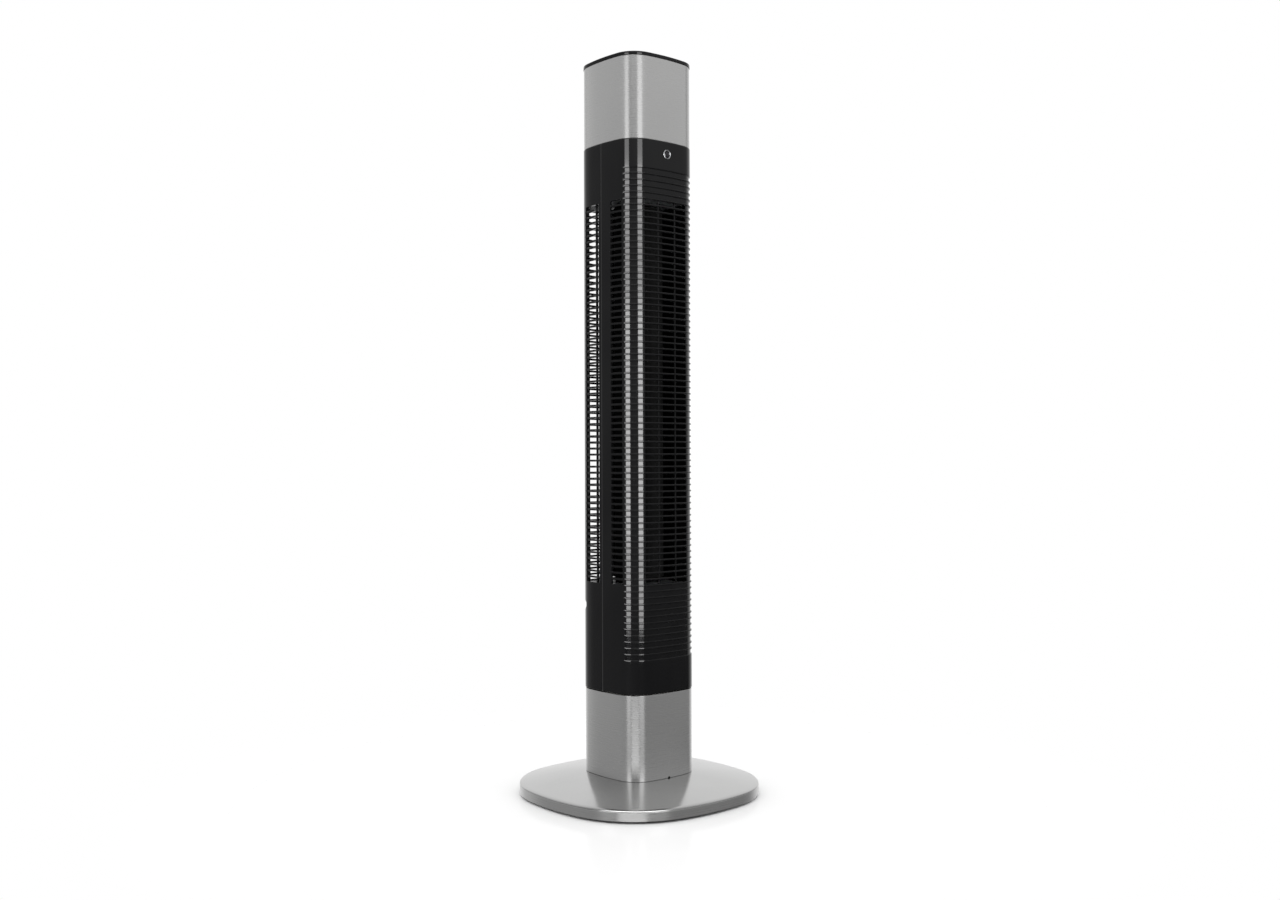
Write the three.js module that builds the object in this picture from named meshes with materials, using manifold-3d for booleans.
// Tower fan: a slim square column with bowed sides on a crowned base plate.
// Millimetres, +Z up, front towards -Y, origin on the floor under the column's axis.
import * as THREE from 'three';
import { mergeVertices } from 'three/addons/utils/BufferGeometryUtils.js';
import Module from 'manifold-3d';

const wasm = await Module();
wasm.setup();

// ---------------------------------------------------------------- driving dimensions

const GAP = 0.3;                 // clearance between neighbouring pieces
const FACET_GAP = 1.1;           // clearance between curved walls with facets in different places
const DEG = Math.PI / 180;

const COLUMN = { half: 67.05, corner: 34, bow: 6.03 };   // steel column and head, in section
const BODY = { half: 67.65, corner: 34.6, bow: 6.03 };   // black body, slightly prouder
const CAP = { half: 67.75, corner: 34.7, bow: 6.03 };    // cap on the head
const BASE = { half: 163.8, corner: 125.6, bow: 24.2 };  // base plate

const FOOT_TOP = 2.3;            // rubber feet
const RIM_BOTTOM = 2.6;          // lower edge of the base rim
const RIM_TOP = 17.05;           // upper edge of the base rim
const PLATEAU = 32.3;            // top of the crown, where the column stands
const SLEEVE_TOP = 154.2;
const BODY_BOTTOM = 155.6;
const BODY_TOP = 945.8;
const BAND_TOP = 1064.8;
const CAP_BOTTOM = 1065.1;
const TOTAL_HEIGHT = 1070;

const SHELL = 3.2;               // wall of the black shells where they are smooth
const SEAM_Y = 1.5;              // joint between front and rear shell
const FIN_COUNT = 80;            // on the real panel; the model carries every third one
const FIN_STEP = 3;
const FIN_PITCH = 8.887;
const FIN_FIRST_Z = 203.4;
const FIN_HEIGHT = 2.9;
const FIN_DEPTH = 1.6;           // how far the fins stand out of the valley behind them
const FIRST_OPEN_FIN = 12;       // the openings lie between these two fins
const LAST_OPEN_FIN = 74;
const FIN_END_LATERAL = 45.5;    // where the fins end on the side faces
const FRONT_OPEN_HALF = 40;      // half-width of the openings on the front and the back
const FRONT_RIB = 16;            // place of the upright ribs of the front and the back
const RIB_WIDTH = 1.8;
const SIDE_OPEN = [19.5, 41.5];  // openings on the side faces, in front of the middle
const REAR_SLOT = [6.5, 38];     // slots on the side faces, behind the middle
const REAR_RIB = 12.7;

const IMPELLER_RADIUS = 38;
const IMPELLER_BOTTOM = 318;
const IMPELLER_TOP = 856;
const BLADE_COUNT = 12;
const SHAFT_RADIUS = 4;

const GEAR_MODULE = 1;
const SECTOR_TEETH = 48;         // teeth of the whole circle the sector is cut from
const PINION_TEETH = 12;
const GEAR_CENTRES = (GEAR_MODULE * (SECTOR_TEETH + PINION_TEETH)) / 2;
const DECK_TOP = 148;            // top of the column's core, which carries the swing bearing
const PLATE_BOTTOM = 155.8;      // the tower's bottom plate
const PLATE_TOP = 158.8;
const SPIGOT_RADIUS = 15;

const BUTTON_PITCH = 17;
const BUTTON_Y = -24;
const BUTTON_RADIUS = 5.6;
const WELL_X = 57;               // screw wells at the rear corners
const WELL_Z = 276;
const WELL_RADIUS = 7.5;
const WELL_FLOOR_Y = 43;
const BUTTON_NAMES = ['power', 'speed', 'mode', 'timer', 'swing'];

const STEEL_WALL = 1.2;          // wall of the column's and the head's steel tubes
const COVER_WALL = 1.5;          // wall of the base cover
const COVER_HOLE_INSET = 112;    // hole through the middle of the base, from its rim
const FOOT_REACH = 104;          // feet at (+-104, +-104)
const CORE_SCREW = 36;           // core screws at (+-36, +-36)
const GLAND_Z = 52;              // grommet for the mains lead, in the column's rear
const GLAND_HOLE_RADIUS = 6.8;
const MOTOR_EAR_X = 26;          // screws of the swing motor
const RECEIVER_Z = 928;          // remote-control window in the front
const HARNESS_X = -50;           // wires up the front left corner
const HARNESS_Y = -38;
const FRAME_LOW = 924;           // the inner frame that joins the head to the body
const FRAME_HIGH = 1052;
const BOARD_Z = 1050;            // control board under the cap
const COLLAR_LOW = 1058.8;       // underside of the buttons' collars
const LENS = { x: 26, front: -6, back: 12, depth: 1.6 };   // pocket of the display window

// ---------------------------------------------------------------- materials

const blackShell = { color: 0x1c1c1d, roughness: 0.28, metalness: 0 };
const blackMatte = { color: 0x242426, roughness: 0.6, metalness: 0 };
const steelBrushed = { color: 0xb9b9b7, roughness: 0.35, metalness: 1 };
const steelZinc = { color: 0x9c9ea2, roughness: 0.4, metalness: 1 };
const ironCast = { color: 0x4a4a4c, roughness: 0.7, metalness: 0.8 };
const rubberBlack = { color: 0x151515, roughness: 0.9, metalness: 0 };
const plasticWhite = { color: 0xd8d6cf, roughness: 0.5, metalness: 0 };
const plasticGrey = { color: 0x6c6e71, roughness: 0.55, metalness: 0 };
const boardGreen = { color: 0x1f5a35, roughness: 0.5, metalness: 0 };
const brassTone = { color: 0xb08d48, roughness: 0.35, metalness: 1 };
const glassDark = { color: 0x0a0a0c, roughness: 0.08, metalness: 0 };

// ---------------------------------------------------------------- solids from three.js geometry

// Turns the faces of a closed mesh outwards if they point inwards.
function faceOutwards(geometry) {
  const p = geometry.attributes.position;
  const index = geometry.index.array;
  const corners = [new THREE.Vector3(), new THREE.Vector3(), new THREE.Vector3()];
  let volume = 0;
  for (let i = 0; i < index.length; i += 3) {
    corners.forEach((corner, k) => corner.fromBufferAttribute(p, index[i + k]));
    volume += corners[0].dot(corners[1].cross(corners[2]));
  }
  if (volume < 0) {
    for (let i = 0; i < index.length; i += 3) {
      [index[i], index[i + 1]] = [index[i + 1], index[i]];
    }
  }
  return geometry;
}

// A closed mesh with shared corners and without needle-thin leftovers at a pole.
function weld(geometry) {
  const bare = geometry.clone();
  bare.deleteAttribute('normal');
  bare.deleteAttribute('uv');
  const merged = mergeVertices(bare, 1e-4);
  const source = merged.index.array;
  const kept = [];
  for (let i = 0; i < source.length; i += 3) {
    const [a, b, c] = [source[i], source[i + 1], source[i + 2]];
    if (a !== b && b !== c && c !== a) {
      kept.push(a, b, c);
    }
  }
  merged.setIndex(kept);
  return faceOutwards(merged);
}

function toSolid(geometry) {
  const welded = weld(geometry);
  return new wasm.Manifold(new wasm.Mesh({
    numProp: 3,
    vertProperties: new Float32Array(welded.attributes.position.array),
    triVerts: new Uint32Array(welded.index.array),
  }));
}

function toGeometry(solid) {
  const mesh = solid.getMesh();
  const geometry = new THREE.BufferGeometry();
  geometry.setAttribute('position', new THREE.BufferAttribute(mesh.vertProperties, 3));
  geometry.setIndex(new THREE.BufferAttribute(mesh.triVerts, 1));
  geometry.computeVertexNormals();
  return geometry;
}

const join = (...geometries) => geometries.map(toSolid).reduce((sum, next) => sum.add(next));
const cut = (solid, ...geometries) =>
  geometries.map(toSolid).reduce((left, next) => left.subtract(next), solid);

function extrude(shape, low, high, curveSegments = 6) {
  const options = { depth: high - low, bevelEnabled: false, curveSegments };
  return new THREE.ExtrudeGeometry(shape, options).translate(0, 0, low);
}

// A body of revolution about a vertical axis through (x, y), from [radius, z] points.
function turned(points, segments = 24, x = 0, y = 0) {
  const profile = points.map(([radius, z]) => new THREE.Vector2(radius, z));
  const closed = points[0][0] > 0 ? [...profile, profile[0].clone()] : profile;
  return new THREE.LatheGeometry(closed, segments).rotateX(Math.PI / 2).translate(x, y, 0);
}

const disc = (radius, low, high, segments, x, y) =>
  turned([[0, low], [radius, low], [radius, high], [0, high]], segments, x, y);

const washer = (inner, outer, low, high, segments, x, y) =>
  turned([[inner, low], [outer, low], [outer, high], [inner, high]], segments, x, y);

const block = (x0, x1, y0, y1, z0, z1) => new THREE.BoxGeometry(x1 - x0, y1 - y0, z1 - z0)
  .translate((x0 + x1) / 2, (y0 + y1) / 2, (z0 + z1) / 2);

// ---------------------------------------------------------------- the bowed square

// Each side is a wide arc and each corner a tight one, and they meet without a kink.
function bowedSquare({ half, corner, bow }) {
  const chordHalf = half - 0.3 * corner;
  const sideRadius = (chordHalf ** 2 + bow ** 2) / (2 * bow);
  const sideCentre = half - sideRadius;
  const reach = sideRadius - corner;
  const cornerCentre = (sideCentre + Math.sqrt(2 * reach ** 2 - sideCentre ** 2)) / 2;
  const tangent = Math.atan2(cornerCentre, cornerCentre - sideCentre) / DEG;
  return { half, corner, sideRadius, sideCentre, cornerCentre, tangent };
}

const column = bowedSquare(COLUMN);
const body = bowedSquare(BODY);
const cap = bowedSquare(CAP);
const base = bowedSquare(BASE);

// The outline's point whose outward normal has this heading: 0 is the front, 90 the right side.
function outlinePoint(square, heading, inset) {
  const face = Math.round(heading / 90);
  const turn = (heading - face * 90) * DEG;
  const onSide = Math.abs(turn) <= square.tangent * DEG;
  const radius = (onSide ? square.sideRadius : square.corner) - inset;
  const out = (onSide ? square.sideCentre : square.cornerCentre) + radius * Math.cos(turn);
  const along = (onSide ? 0 : Math.sign(turn) * square.cornerCentre) + radius * Math.sin(turn);
  const [sin, cos] = [Math.sin(face * 90 * DEG), Math.cos(face * 90 * DEG)];
  return new THREE.Vector2(out * sin + along * cos, -out * cos + along * sin);
}

// Heading, counted from the middle of a face, of the point this far along from the middle.
function headingAt(square, along) {
  const tangentAlong = square.sideRadius * Math.sin(square.tangent * DEG);
  const onSide = Math.abs(along) <= tangentAlong;
  const sine = onSide
    ? along / square.sideRadius
    : (Math.abs(along) - square.cornerCentre) * Math.sign(along) / square.corner;
  return Math.asin(sine) / DEG;
}

// Headings at which the outline gets a corner between two headings, both ends included.
function headingsBetween(square, from, to, cornerSteps) {
  const list = [];
  for (let face = -4; face <= 4; face += 1) {
    const cornerSpan = 90 - 2 * square.tangent;
    list.push(face * 90);
    for (let step = 0; step <= cornerSteps; step += 1) {
      list.push(face * 90 + square.tangent + (cornerSpan * step) / cornerSteps);
    }
  }
  const between = list.filter((heading) => heading > from + 0.5 && heading < to - 0.5);
  return [from, ...between, to];
}

const loopHeadings = (square, cornerSteps) => headingsBetween(square, 0, 360, cornerSteps).slice(0, -1);

function loopPoints(square, inset, cornerSteps) {
  return loopHeadings(square, cornerSteps).map((heading) => outlinePoint(square, heading, inset));
}

function plateShape(square, inset, cornerSteps = 3) {
  return new THREE.Shape(loopPoints(square, inset, cornerSteps));
}

function ringShape(square, outer, inner, cornerSteps = 3) {
  const shape = plateShape(square, outer, cornerSteps);
  shape.holes.push(new THREE.Path(loopPoints(square, inner, cornerSteps)));
  return shape;
}

function wallShape(square, headings, outer, inner) {
  const outside = headings.map((heading) => outlinePoint(square, heading, outer));
  const inside = headings.map((heading) => outlinePoint(square, heading, inner));
  return new THREE.Shape([...outside, ...inside.reverse()]);
}

// A closed [inset, z] profile carried round the bowed square.
function sweptRing(square, profile, cornerSteps) {
  const headings = loopHeadings(square, cornerSteps);
  const closed = [...profile, profile[0]];
  const points = closed.map(([inset, z]) => new THREE.Vector2(inset, z));
  const geometry = new THREE.LatheGeometry(points, headings.length);
  const position = geometry.attributes.position;
  for (let i = 0; i < position.count; i += 1) {
    const heading = headings[Math.floor(i / closed.length) % headings.length];
    const [inset, z] = closed[i % closed.length];
    const point = outlinePoint(square, heading, inset);
    position.setXYZ(i, point.x, point.y, z);
  }
  return geometry;
}

// ---------------------------------------------------------------- the assembly

const fan = new THREE.Group();

function addPiece(name, shape, look) {
  const geometry = shape instanceof THREE.BufferGeometry ? weld(shape) : toGeometry(shape);
  geometry.computeVertexNormals();
  const mesh = new THREE.Mesh(geometry, new THREE.MeshStandardMaterial(look));
  mesh.name = name;
  fan.add(mesh);
}

// A screw along +Z with its head at the bottom, the head's underside at z = 0.
function screwGeometry(shankRadius, length, headRadius, headHeight) {
  return turned([
    [0, -headHeight], [headRadius * 0.7, -headHeight], [headRadius, -headHeight * 0.4], [headRadius, 0],
    [shankRadius, 0], [shankRadius, length - shankRadius], [0, length],
  ], 8);
}

// ---------------------------------------------------------------- base

const PLATEAU_INSET = BASE.half - COLUMN.half - 1.5;
const CORE_SCREW_SIGNS = [[1, 1], [-1, 1], [-1, -1], [1, -1]];

// Height of the crowned top at this inset from the rim: a flat dome down to the rim's edge.
function crownHeight(inset) {
  const span = BASE.half ** 2 - (BASE.half - PLATEAU_INSET) ** 2;
  const fall = (PLATEAU - RIM_TOP) * ((BASE.half - inset) ** 2 - (BASE.half - PLATEAU_INSET) ** 2);
  return PLATEAU - fall / span;
}

function baseCover() {
  const steps = 3;
  const first = 1.2;
  const top = [];
  for (let step = 0; step <= steps; step += 1) {
    const inset = first + ((PLATEAU_INSET - first) * step) / steps;
    top.push([inset, crownHeight(inset)]);
  }
  const under = top.map(([inset, z]) => [Math.max(inset, COVER_WALL), z - COVER_WALL]).reverse();
  const profile = [
    [0, RIM_BOTTOM], [0, RIM_TOP - 1.0], ...top, [COVER_HOLE_INSET, PLATEAU],
    [COVER_HOLE_INSET, PLATEAU - COVER_WALL], ...under, [COVER_WALL, RIM_BOTTOM],
  ];
  const holes = CORE_SCREW_SIGNS.map(([x, y]) =>
    disc(3.2, PLATEAU - 4, PLATEAU + 2, 8, x * CORE_SCREW, y * CORE_SCREW));
  return cut(toSolid(sweptRing(base, profile, 5)), ...holes);
}

const glandHole = () => new THREE.CylinderGeometry(GLAND_HOLE_RADIUS, GLAND_HOLE_RADIUS, 12, 12)
  .translate(0, column.half - 3, GLAND_Z);

function pedestalCore() {
  const wallInset = STEEL_WALL + FACET_GAP;
  const bottom = PLATEAU + GAP;
  const wall = extrude(ringShape(column, wallInset, wallInset + 3), bottom, DECK_TOP);
  const deck = extrude(plateShape(column, wallInset), DECK_TOP - 4, DECK_TOP);
  const floor = extrude(ringShape(column, wallInset, 30), bottom, bottom + 3);
  const bosses = CORE_SCREW_SIGNS.map(([x, y]) =>
    disc(7, bottom, bottom + 16, 8, x * CORE_SCREW, y * CORE_SCREW));
  const bores = CORE_SCREW_SIGNS.map(([x, y]) =>
    disc(3.2, bottom - 1, bottom + 14, 8, x * CORE_SCREW, y * CORE_SCREW));
  const spigotHole = disc(SPIGOT_RADIUS + GAP, DECK_TOP - 10, DECK_TOP + 5, 24);
  const cordHole = glandHole();
  return cut(join(wall, deck, floor, ...bosses), ...bores, spigotHole, cordHole);
}

function pedestalSleeve() {
  const tube = toSolid(extrude(ringShape(column, 0, STEEL_WALL, 4), PLATEAU + GAP, SLEEVE_TOP));
  const cordHole = glandHole();
  return cut(tube, cordHole);
}

// A grommet in the rear of the column, where the mains lead would enter.
function cordGland() {
  const outer = column.half;
  const profile = [
    [3.6, outer + 2.5], [7.5, outer + 2.5], [8.5, outer + GAP], [6.4, outer + GAP],
    [6.4, outer - 6], [3.6, outer - 6],
  ];
  return turned(profile, 16).rotateX(-Math.PI / 2).translate(0, 0, GLAND_Z);
}

function baseWeight() {
  return extrude(ringShape(base, 22, COVER_HOLE_INSET, 5), 7, 11.5);
}

function baseTray() {
  const rimClear = COVER_WALL + GAP;
  const plate = extrude(ringShape(base, rimClear, COVER_HOLE_INSET, 5), RIM_BOTTOM, RIM_BOTTOM + 2);
  const lip = extrude(ringShape(base, rimClear, rimClear + 2, 5), RIM_BOTTOM, RIM_BOTTOM + 8);
  return join(plate, lip);
}

function foot(x, y) {
  return turned([[0, 0], [11, 0], [12, 0.8], [12, FOOT_TOP], [0, FOOT_TOP]], 12, x, y);
}

addPiece('base_cover', baseCover(), steelBrushed);
addPiece('base_weight', baseWeight(), ironCast);
addPiece('base_tray', baseTray(), blackMatte);
CORE_SCREW_SIGNS.forEach(([x, y], i) => {
  addPiece(`foot_${i + 1}`, foot(x * FOOT_REACH, y * FOOT_REACH), rubberBlack);
  const screw = screwGeometry(2.8, 15, 5, 3)
    .translate(x * CORE_SCREW, y * CORE_SCREW, PLATEAU - COVER_WALL - GAP);
  addPiece(`core_screw_${i + 1}`, screw, steelZinc);
});
addPiece('pedestal_core', pedestalCore(), blackMatte);
addPiece('pedestal_sleeve', pedestalSleeve(), steelBrushed);
addPiece('cord_gland', cordGland(), rubberBlack);

// ---------------------------------------------------------------- swing drive

// A plain tooth, as four points at its root and tip, centred on this angle.
function toothPoints(pitchRadius, angle) {
  const root = pitchRadius - 1.25 * GEAR_MODULE;
  const tip = pitchRadius + 0.85 * GEAR_MODULE;
  const rootHalf = (0.85 * GEAR_MODULE) / pitchRadius;
  const tipHalf = (0.3 * GEAR_MODULE) / pitchRadius;
  return [[root, -rootHalf], [tip, -tipHalf], [tip, tipHalf], [root, rootHalf]].map(([radius, turn]) =>
    new THREE.Vector2(radius * Math.cos(angle + turn), radius * Math.sin(angle + turn)));
}

// The fixed sector: teeth towards the rear, on an arm that rings the spigot.
function swingSector() {
  const pitchRadius = (GEAR_MODULE * SECTOR_TEETH) / 2;
  const step = (2 * Math.PI) / SECTOR_TEETH;
  const eachSide = 7;
  const points = [];
  for (let tooth = -eachSide; tooth <= eachSide; tooth += 1) {
    points.push(...toothPoints(pitchRadius, Math.PI / 2 + tooth * step));
  }
  const low = DECK_TOP + GAP;
  const rim = extrude(new THREE.Shape([...points, new THREE.Vector2(0, 0)]), low, low + 4.5);
  const ring = disc(SPIGOT_RADIUS + 4, low, low + 4.5, 24);
  const hole = disc(SPIGOT_RADIUS + GAP, low - 1, low + 6, 24);
  return cut(join(rim, ring), hole);
}

// The pinion, with a gap between two teeth facing the sector, on its own short shaft.
function swingPinion() {
  const pitchRadius = (GEAR_MODULE * PINION_TEETH) / 2;
  const step = (2 * Math.PI) / PINION_TEETH;
  const points = [];
  for (let tooth = 0; tooth < PINION_TEETH; tooth += 1) {
    points.push(...toothPoints(pitchRadius, -Math.PI / 2 + (tooth + 0.5) * step));
  }
  const low = DECK_TOP + GAP;
  const wheel = extrude(new THREE.Shape(points), low, low + 4.5);
  const shaft = disc(2.2, low, PLATE_TOP + 8, 10);
  return toGeometry(join(wheel, shaft)).translate(0, GEAR_CENTRES, 0);
}

function bottomPlate() {
  const plate = extrude(plateShape(body, SHELL + FACET_GAP), PLATE_BOTTOM, PLATE_TOP);
  const spigot = disc(SPIGOT_RADIUS, DECK_TOP - 14, PLATE_TOP, 24);
  const throat = disc(SPIGOT_RADIUS - 3, DECK_TOP - 20, PLATE_TOP + 5, 24);
  const pinionHole = disc(3, PLATE_BOTTOM - 1, PLATE_TOP + 1, 12, 0, GEAR_CENTRES);
  return cut(join(plate, spigot), throat, pinionHole);
}

function retainingCollar() {
  const top = DECK_TOP - 4 - GAP;
  return washer(SPIGOT_RADIUS + GAP, SPIGOT_RADIUS + 6, top - 4, top, 24);
}

const SWING_MOTOR_RADIUS = 23;

function swingMotor() {
  const low = PLATE_TOP + GAP;
  const can = disc(SWING_MOTOR_RADIUS, low, low + 17, 24, 0, GEAR_CENTRES);
  const ears = block(-29, 29, GEAR_CENTRES - 4, GEAR_CENTRES + 4, low, low + 1.5);
  const bore = disc(2.6, low - 1, low + 14, 12, 0, GEAR_CENTRES);
  const earHoles = [-MOTOR_EAR_X, MOTOR_EAR_X].map((x) => disc(1.9, low - 1, low + 3, 8, x, GEAR_CENTRES));
  return cut(join(can, ears), bore, ...earHoles);
}

addPiece('bearing_ring', washer(46, 54, DECK_TOP + GAP, PLATE_BOTTOM - GAP, 24), plasticWhite);
addPiece('swing_sector', swingSector(), plasticWhite);
addPiece('swing_pinion', swingPinion(), plasticWhite);
addPiece('bottom_plate', bottomPlate(), blackMatte);
addPiece('retaining_collar', retainingCollar(), steelZinc);
addPiece('swing_motor', swingMotor(), steelZinc);
[-MOTOR_EAR_X, MOTOR_EAR_X].forEach((x, i) => {
  const screw = screwGeometry(1.6, 2.2, 3, 1.6).rotateX(Math.PI)
    .translate(x, GEAR_CENTRES, PLATE_TOP + 1.5 + 2 * GAP);
  addPiece(`swing_motor_screw_${i + 1}`, screw, steelZinc);
});

// ---------------------------------------------------------------- black shells

const SEAM_HEADING = 90 + headingAt(body, SEAM_Y);
const FIN_HEADING = 90 - headingAt(body, FIN_END_LATERAL);
const finZ = (fin) => FIN_FIRST_Z + fin * FIN_PITCH;
const OPEN_LOW = finZ(FIRST_OPEN_FIN) + FIN_HEIGHT / 2;
const OPEN_HIGH = finZ(LAST_OPEN_FIN) - FIN_HEIGHT / 2;

// A tool that cuts one tall window through the shell between two places along a face.
function windowTool(face, from, to) {
  const ends = [headingAt(body, from), headingAt(body, to)].sort((a, b) => a - b);
  const headings = ends.map((heading) => face * 90 + heading);
  return extrude(wallShape(body, headings, -2, SHELL + 2), OPEN_LOW, OPEN_HIGH);
}

// One horizontal bar across a window, a little below the shell's surface.
function windowBar(face, from, to, fin) {
  const reach = 1;
  const ends = [headingAt(body, from), headingAt(body, to)].sort((a, b) => a - b);
  const headings = [face * 90 + ends[0] - reach, face * 90 + ends[1] + reach];
  const outline = wallShape(body, headings, 0.5, SHELL - 0.6);
  return extrude(outline, finZ(fin) - FIN_HEIGHT / 2, finZ(fin) + FIN_HEIGHT / 2);
}

function finBar(fin) {
  const tangent = body.tangent;
  const middle = (FIN_HEADING + tangent) / 2;
  const headings = [-FIN_HEADING, -middle, -tangent, 0, tangent, middle, FIN_HEADING];
  const outline = wallShape(body, headings, 0, FIN_DEPTH + 0.5);
  return extrude(outline, finZ(fin) - FIN_HEIGHT / 2, finZ(fin) + FIN_HEIGHT / 2);
}

function frontGrille() {
  const tangent = body.tangent;
  const middle = (FIN_HEADING + tangent) / 2;
  const corners = [tangent, middle, FIN_HEADING, 90 - tangent];
  const headings = [-SEAM_HEADING, ...corners.map((h) => -h).reverse(), 0, ...corners, SEAM_HEADING];
  const wall = extrude(wallShape(body, headings, 0, SHELL), BODY_BOTTOM, BODY_TOP);
  const recessHeadings = headings.filter((heading) => Math.abs(heading) <= FIN_HEADING);
  const recess = extrude(
    wallShape(body, recessHeadings, -2, FIN_DEPTH),
    finZ(0) - FIN_HEIGHT / 2,
    finZ(FIN_COUNT - 1) + FIN_HEIGHT / 2,
  );
  const half = RIB_WIDTH / 2;
  const windows = [
    windowTool(0, -FRONT_OPEN_HALF, -FRONT_RIB - half),
    windowTool(0, -FRONT_RIB + half, FRONT_RIB - half),
    windowTool(0, FRONT_RIB + half, FRONT_OPEN_HALF),
    windowTool(1, -SIDE_OPEN[0], -SIDE_OPEN[1]),
    windowTool(-1, SIDE_OPEN[0], SIDE_OPEN[1]),
  ];
  const receiverHole = new THREE.CylinderGeometry(4.3, 4.3, 12, 16).translate(0, -body.half, RECEIVER_Z);
  let panel = cut(toSolid(wall), recess, ...windows, receiverHole);
  for (let fin = 0; fin < FIN_COUNT; fin += FIN_STEP) {
    panel = panel.add(toSolid(finBar(fin)));
  }
  for (let fin = FIRST_OPEN_FIN + FIN_STEP; fin < LAST_OPEN_FIN; fin += FIN_STEP) {
    panel = panel.add(toSolid(windowBar(1, -SIDE_OPEN[0], -SIDE_OPEN[1], fin)));
    panel = panel.add(toSolid(windowBar(-1, SIDE_OPEN[0], SIDE_OPEN[1], fin)));
  }
  return panel;
}

function rearHousing() {
  const seamGap = 0.4;
  const from = SEAM_HEADING + (seamGap / body.sideRadius) / DEG;
  const headings = headingsBetween(body, from, 360 - from, 3);
  const wall = extrude(wallShape(body, headings, 0, SHELL), BODY_BOTTOM, BODY_TOP);
  const half = RIB_WIDTH / 2;
  const windows = [
    windowTool(1, REAR_SLOT[0], REAR_RIB - half),
    windowTool(1, REAR_RIB + half, REAR_SLOT[1]),
    windowTool(3, -REAR_SLOT[0], -REAR_RIB + half),
    windowTool(3, -REAR_RIB - half, -REAR_SLOT[1]),
    windowTool(2, -FRONT_OPEN_HALF, -FRONT_RIB - half),
    windowTool(2, -FRONT_RIB + half, FRONT_RIB - half),
    windowTool(2, FRONT_RIB + half, FRONT_OPEN_HALF),
  ];
  const alongY = (radius, x, y0, y1, z, segments) =>
    new THREE.CylinderGeometry(radius, radius, y1 - y0, segments).translate(x, (y0 + y1) / 2, z);
  const wells = [-WELL_X, WELL_X].map((x) => alongY(WELL_RADIUS, x, WELL_FLOOR_Y, 75, WELL_Z, 20));
  const bosses = [-1, 1].flatMap((side) => [
    alongY(6, side * (WELL_X - 4), WELL_FLOOR_Y - 14, WELL_FLOOR_Y, WELL_Z, 12),
    alongY(WELL_RADIUS + 2, side * WELL_X, WELL_FLOOR_Y - 2.5, 66, WELL_Z, 20),
  ]);
  const outside = extrude(ringShape(body, -20, 0, 3), WELL_Z - 20, WELL_Z + 20);
  const screwHoles = [-1, 1].map((side) =>
    alongY(2.3, side * (WELL_X - 4), 20, WELL_FLOOR_Y + 3, WELL_Z, 10));
  let shell = cut(toSolid(wall), ...windows);
  for (const boss of bosses) {
    shell = shell.add(cut(toSolid(boss), outside));
  }
  shell = cut(shell, ...wells, ...screwHoles);
  for (let fin = FIRST_OPEN_FIN + FIN_STEP; fin < LAST_OPEN_FIN; fin += FIN_STEP) {
    shell = shell.add(toSolid(windowBar(1, REAR_SLOT[0], REAR_SLOT[1], fin)));
    shell = shell.add(toSolid(windowBar(3, -REAR_SLOT[0], -REAR_SLOT[1], fin)));
    shell = shell.add(toSolid(windowBar(2, -FRONT_OPEN_HALF, FRONT_OPEN_HALF, fin)));
  }
  return shell;
}

addPiece('front_grille', frontGrille(), blackShell);
addPiece('rear_housing', rearHousing(), blackShell);
[-1, 1].forEach((side, i) => {
  const screw = screwGeometry(2, 17, 3.4, 2).rotateX(Math.PI / 2)
    .translate(side * (WELL_X - 4), WELL_FLOOR_Y + GAP, WELL_Z);
  addPiece(`housing_screw_${i + 1}`, screw, steelZinc);
});
addPiece('receiver_window', new THREE.CylinderGeometry(4, 4, SHELL, 16)
  .translate(0, -body.half + SHELL / 2, RECEIVER_Z), glassDark);

// ---------------------------------------------------------------- air path

const DUCT_LOW = IMPELLER_BOTTOM - 8;
const DUCT_HIGH = IMPELLER_TOP + 6;

// A sheet of even thickness along a line of points, as a shape.
function sheetShape(points, thickness) {
  const left = [];
  const right = [];
  points.forEach((point, i) => {
    const before = points[Math.max(i - 1, 0)];
    const after = points[Math.min(i + 1, points.length - 1)];
    const direction = after.clone().sub(before).normalize();
    const offset = new THREE.Vector2(-direction.y, direction.x).multiplyScalar(thickness / 2);
    left.push(point.clone().add(offset));
    right.push(point.clone().sub(offset));
  });
  return new THREE.Shape([...left, ...right.reverse()]);
}

// The scroll opens steadily from behind the wheel round its right side to the front opening.
function airScroll() {
  const points = [];
  const steps = 8;
  for (let step = 0; step <= steps; step += 1) {
    const angle = (58 - (98 * step) / steps) * DEG;
    const radius = IMPELLER_RADIUS + 4 + (11 * step) / steps;
    points.push(new THREE.Vector2(radius * Math.cos(angle), radius * Math.sin(angle)));
  }
  points.push(new THREE.Vector2(FRONT_OPEN_HALF + 2, -body.half + SHELL + 7));
  return extrude(sheetShape(points, 1.8), DUCT_LOW + GAP, DUCT_HIGH - GAP);
}

// The tongue parts the outgoing air from the wheel on the left side.
function airTongue() {
  const points = [178, 190, 202, 214].map((degrees, step) => {
    const radius = IMPELLER_RADIUS + 3 + step * 1.2;
    return new THREE.Vector2(radius * Math.cos(degrees * DEG), radius * Math.sin(degrees * DEG));
  });
  points.push(new THREE.Vector2(-FRONT_OPEN_HALF - 2, -body.half + SHELL + 7));
  return extrude(sheetShape(points, 1.8), DUCT_LOW + GAP, DUCT_HIGH - GAP);
}

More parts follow.
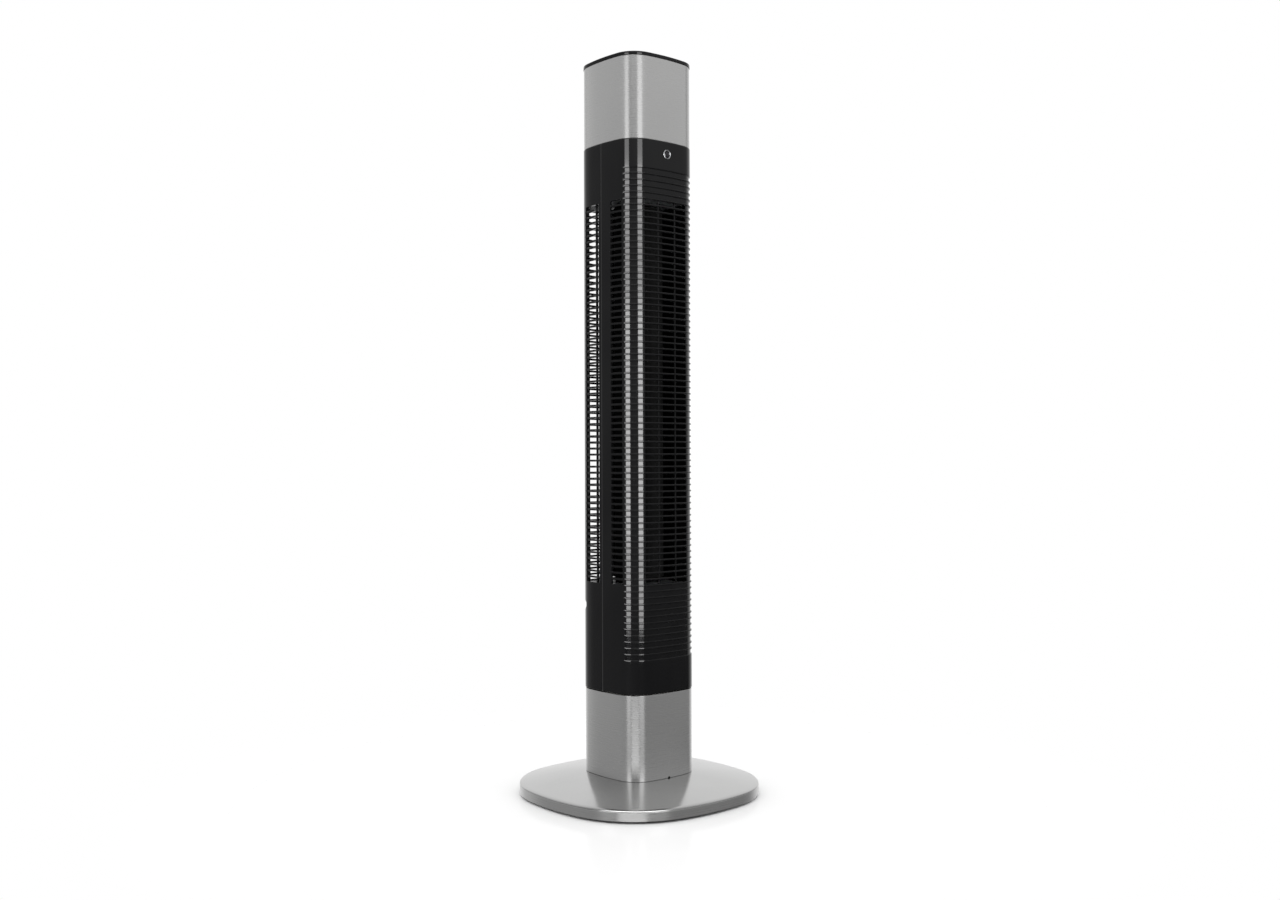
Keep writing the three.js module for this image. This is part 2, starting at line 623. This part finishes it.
// The cross-flow wheel: slanted blades between two end discs and through two stiffening rings,
// with a hub for the drive shaft below and a bearing pin above.
function impeller() {
  const outer = IMPELLER_RADIUS - 0.6;
  const inner = 28;
  const blades = [];
  for (let i = 0; i < BLADE_COUNT; i += 1) {
    const start = (i * 2 * Math.PI) / BLADE_COUNT;
    const line = [[inner, 0], [outer, 13]].map(([radius, lead]) =>
      new THREE.Vector2(radius * Math.cos(start + lead * DEG), radius * Math.sin(start + lead * DEG)));
    blades.push(extrude(sheetShape(line, 1), IMPELLER_BOTTOM + 1, IMPELLER_TOP - 1));
  }
  const rings = [1, 2].map((step) => {
    const z = IMPELLER_BOTTOM + ((IMPELLER_TOP - IMPELLER_BOTTOM) * step) / 3;
    return washer(inner - 1, IMPELLER_RADIUS, z - 1, z + 1, 20);
  });
  const lower = disc(IMPELLER_RADIUS, IMPELLER_BOTTOM, IMPELLER_BOTTOM + 2.5, 24);
  const upper = disc(IMPELLER_RADIUS, IMPELLER_TOP - 2.5, IMPELLER_TOP, 24);
  const hub = disc(11, IMPELLER_BOTTOM, IMPELLER_BOTTOM + 24, 16);
  const pin = disc(3, IMPELLER_TOP - 3, IMPELLER_TOP + 16, 12);
  const bore = disc(SHAFT_RADIUS + GAP, IMPELLER_BOTTOM - 1, IMPELLER_BOTTOM + 20, 16);
  return cut(join(lower, ...blades, ...rings, upper, hub, pin), bore);
}

function motorBracket() {
  const plate = extrude(plateShape(body, SHELL + FACET_GAP), DUCT_LOW - 3, DUCT_LOW);
  const hole = disc(15, DUCT_LOW - 5, DUCT_LOW + 2, 24);
  const wirePass = disc(4.2, DUCT_LOW - 5, DUCT_LOW + 2, 12, HARNESS_X, HARNESS_Y);
  return cut(toSolid(plate), hole, wirePass);
}

function upperBracket() {
  const plate = extrude(plateShape(body, SHELL + FACET_GAP), DUCT_HIGH, DUCT_HIGH + 3);
  const cup = disc(12, DUCT_HIGH, DUCT_HIGH + 13, 20);
  const seat = disc(8 + GAP, DUCT_HIGH - 2, DUCT_HIGH + 10, 20);
  const wirePass = disc(4.2, DUCT_HIGH - 2, DUCT_HIGH + 5, 12, HARNESS_X, HARNESS_Y);
  const vent = disc(3.6, DUCT_HIGH + 5, DUCT_HIGH + 15, 12);
  return cut(join(plate, cup), seat, wirePass, vent);
}

function fanMotor() {
  const top = DUCT_LOW - 3 - GAP;
  const can = turned([
    [0, top - 44], [14, top - 44], [14, top - 40], [38, top - 40], [41, top - 36],
    [41, top - 4], [38, top], [0, top],
  ], 20);
  const boss = disc(11, top - 2, top + 3.5, 20);
  const bore = disc(SHAFT_RADIUS + 0.08, top - 34, top + 6, 20);
  return cut(join(can, boss), bore);
}

addPiece('air_scroll', airScroll(), blackMatte);
addPiece('air_tongue', airTongue(), blackMatte);
addPiece('impeller', impeller(), blackMatte);
addPiece('drive_shaft', disc(SHAFT_RADIUS, DUCT_LOW - 33, IMPELLER_BOTTOM + 19, 20), steelZinc);
addPiece('motor_bracket', motorBracket(), plasticGrey);
addPiece('fan_motor', fanMotor(), steelZinc);
addPiece('upper_bracket', upperBracket(), plasticGrey);
addPiece('upper_bush', washer(3.08, 8, DUCT_HIGH + 0.5, DUCT_HIGH + 9, 20), brassTone);

// ---------------------------------------------------------------- electrics

function powerBoard() {
  const y = -38;
  const board = block(-38, 38, y, y + 1.6, 172, 246);
  const parts = [
    block(-30, -8, y + 1, y + 16, 180, 206),
    block(2, 14, y + 1, y + 12, 182, 196),
    block(20, 32, y + 1, y + 10, 178, 204),
    block(-24, 24, y + 1, y + 9, 226, 236),
  ];
  return join(board, ...parts);
}

function runCapacitor() {
  return turned([[0, 170], [11, 170], [12, 171], [12, 216], [11, 217], [0, 217]], 16, -42, 12);
}

function controlBoard() {
  const z = BOARD_Z;
  const board = block(-46, 46, -38, 26, z, z + 1.6);
  const switches = BUTTON_NAMES.map((name, i) => {
    const x = buttonX(i);
    return block(x - 3, x + 3, BUTTON_Y - 3, BUTTON_Y + 3, z + 1, z + 7);
  });
  const connector = block(-30, -10, 12, 20, z - 8, z + 1);
  return join(board, ...switches, connector);
}

// Wires from the power board up the front left corner to the control board.
function wiringHarness() {
  const route = new THREE.CatmullRomCurve3([
    new THREE.Vector3(-44, -28, 236),
    new THREE.Vector3(-49, -35, 270),
    new THREE.Vector3(HARNESS_X, HARNESS_Y, DUCT_LOW),
    new THREE.Vector3(HARNESS_X, HARNESS_Y, (DUCT_LOW + DUCT_HIGH) / 2),
    new THREE.Vector3(HARNESS_X, HARNESS_Y, DUCT_HIGH),
    new THREE.Vector3(-44, -30, DUCT_HIGH + 60),
    new THREE.Vector3(-34, 4, 1010),
    new THREE.Vector3(-24, 16, 1041),
  ]);
  const section = new THREE.Shape().absarc(0, 0, 2.4, 0, 2 * Math.PI);
  return new THREE.ExtrudeGeometry(section, { steps: 18, curveSegments: 4, extrudePath: route });
}

// ---------------------------------------------------------------- head

const buttonX = (i) => (i - (BUTTON_NAMES.length - 1) / 2) * BUTTON_PITCH;

function topFrame() {
  const headInset = STEEL_WALL + FACET_GAP;
  const profile = [
    [SHELL + GAP, FRAME_LOW], [SHELL + GAP, BODY_TOP + GAP], [headInset, BODY_TOP + GAP],
    [headInset, FRAME_HIGH], [6.5, FRAME_HIGH], [6.5, FRAME_LOW],
  ];
  return sweptRing(column, profile, 3);
}

function topBand() {
  return extrude(ringShape(column, 0, STEEL_WALL, 4), BODY_TOP + GAP, BAND_TOP);
}

function topCap() {
  const plate = extrude(plateShape(cap, 0, 4), CAP_BOTTOM, TOTAL_HEIGHT);
  const skirtShape = ringShape(column, STEEL_WALL + FACET_GAP, 4.5);
  const skirt = extrude(skirtShape, FRAME_HIGH + 1, CAP_BOTTOM + 1);
  const holes = BUTTON_NAMES.map((name, i) =>
    disc(BUTTON_RADIUS + GAP, CAP_BOTTOM - 5, TOTAL_HEIGHT + 5, 20, buttonX(i), BUTTON_Y));
  const pocketFloor = TOTAL_HEIGHT - LENS.depth;
  const lensPocket = block(-LENS.x, LENS.x, LENS.front, LENS.back, pocketFloor, TOTAL_HEIGHT + 1);
  return cut(join(plate, skirt), ...holes, lensPocket);
}

// A round push button with a collar that holds it under the cap.
function button(i) {
  const collar = BUTTON_RADIUS + 1.6;
  const edge = 0.6;
  return turned([
    [0, COLLAR_LOW], [collar, COLLAR_LOW], [collar, CAP_BOTTOM - GAP], [BUTTON_RADIUS, CAP_BOTTOM - GAP],
    [BUTTON_RADIUS, TOTAL_HEIGHT - edge], [BUTTON_RADIUS - edge, TOTAL_HEIGHT], [0, TOTAL_HEIGHT],
  ], 16, buttonX(i), BUTTON_Y);
}

addPiece('power_board', powerBoard(), boardGreen);
addPiece('run_capacitor', runCapacitor(), plasticWhite);
addPiece('control_board', controlBoard(), boardGreen);
addPiece('wiring_harness', wiringHarness(), blackMatte);
addPiece('top_frame', topFrame(), blackMatte);
addPiece('top_band', topBand(), steelBrushed);
addPiece('top_cap', topCap(), blackShell);
addPiece('display_window', block(
  GAP - LENS.x, LENS.x - GAP, LENS.front + GAP, LENS.back - GAP,
  TOTAL_HEIGHT - LENS.depth + GAP, TOTAL_HEIGHT - 0.1,
), glassDark);
BUTTON_NAMES.forEach((name, i) => addPiece(`${name}_button`, button(i), blackMatte));

export default fan;
